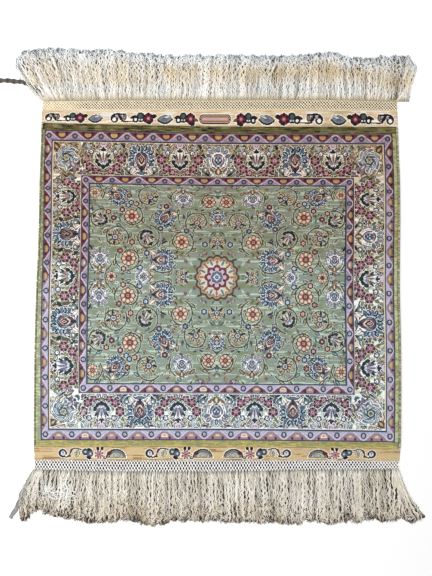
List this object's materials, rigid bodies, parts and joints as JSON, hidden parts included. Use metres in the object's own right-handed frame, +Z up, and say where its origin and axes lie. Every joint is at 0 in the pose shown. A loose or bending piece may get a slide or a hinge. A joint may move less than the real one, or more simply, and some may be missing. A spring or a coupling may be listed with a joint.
{
  "type": "hand-knotted silk rug with netted and fringed ends",
  "caption": "Small hand-knotted silk rug lying flat, with a floral border, flat-woven ends, knotted nets and long silk fringes.",
  "frame": {"origin": "on the surface that the rug lies on, under the middle of its whole outline with the fringes", "axes": "+Y towards the top end of the pattern, +X towards its right side, +Z up out of the pile"},
  "size_m": [0.7154, 0.8094, 0.0026],
  "materials": {
    "silk_pile": "short cut silk pile with a soft sheen",
    "silk_flatweave": "flat-woven silk with brocaded motifs",
    "silk_selvedge": "overcast silk edge cord",
    "silk_net": "knotted undyed silk warps",
    "silk_fringe": "loose undyed silk warp ends, softly crinkled"
  },
  "bodies": {
    "root": {"woven_cloth": "silk_pile", "selvedge_left": "silk_selvedge", "selvedge_right": "silk_selvedge", "net_top": "silk_net", "net_bottom": "silk_net", "fringe_top": "silk_fringe", "fringe_bottom": "silk_fringe"}
  },
  "joints": []
}
